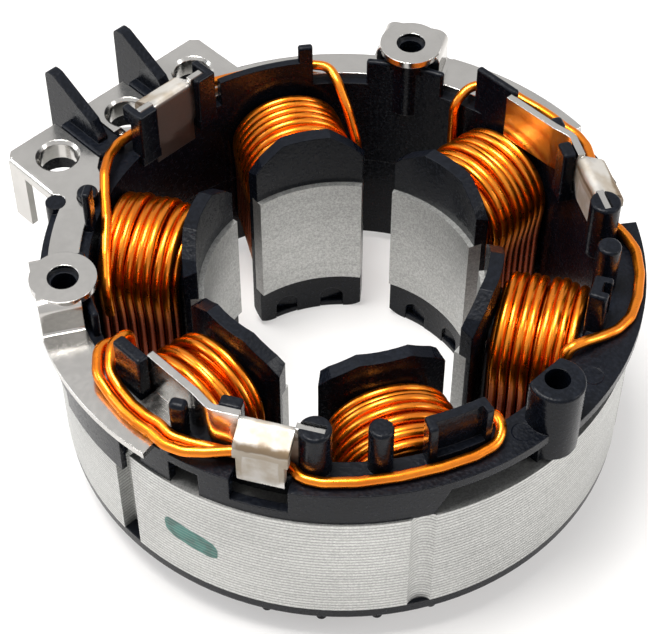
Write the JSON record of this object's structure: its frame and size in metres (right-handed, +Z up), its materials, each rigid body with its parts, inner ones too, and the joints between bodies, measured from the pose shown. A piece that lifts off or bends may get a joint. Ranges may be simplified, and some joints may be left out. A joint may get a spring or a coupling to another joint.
{
  "type": "wound stator",
  "caption": "Ring-shaped wound motor stator: laminated steel core with inward teeth, black insulators, copper coils, tinned bus bars with fusing hooks and a side terminal block.",
  "frame": {"origin": "centre of the bore in the lower face of the steel core", "axes": "+Z up along the bore towards the bus bars, +Y towards the terminal block, +X to the right seen from below the terminal block with the bus bars up"},
  "size_m": [0.0662, 0.0717, 0.0325],
  "materials": {
    "core_steel": "punched electrical sheet, fine sheet lines round the outside, dull ground bore",
    "moulding": "black glass-filled moulding with grained tops and a faint sheen",
    "tinned_sheet": "tinned sheet, mirror-like with faint rolling marks; heat-whitened at the fused hooks",
    "enamelled_copper": null
  },
  "bodies": {
    "root": {"stator_core": "core_steel", "upper_insulator": "moulding", "lower_insulator": "moulding", "coil_1": "enamelled_copper", "coil_2": "enamelled_copper", "coil_3": "enamelled_copper", "coil_4": "enamelled_copper", "coil_5": "enamelled_copper", "coil_6": "enamelled_copper", "busbar_left": "tinned_sheet", "busbar_right": "tinned_sheet", "busbar_middle": "tinned_sheet", "lead_wire_1": "enamelled_copper", "lead_wire_2": "enamelled_copper", "lead_wire_3": "enamelled_copper", "lead_wire_4": "enamelled_copper", "lead_wire_5": "enamelled_copper", "lead_wire_6": "enamelled_copper"}
  },
  "joints": []
}
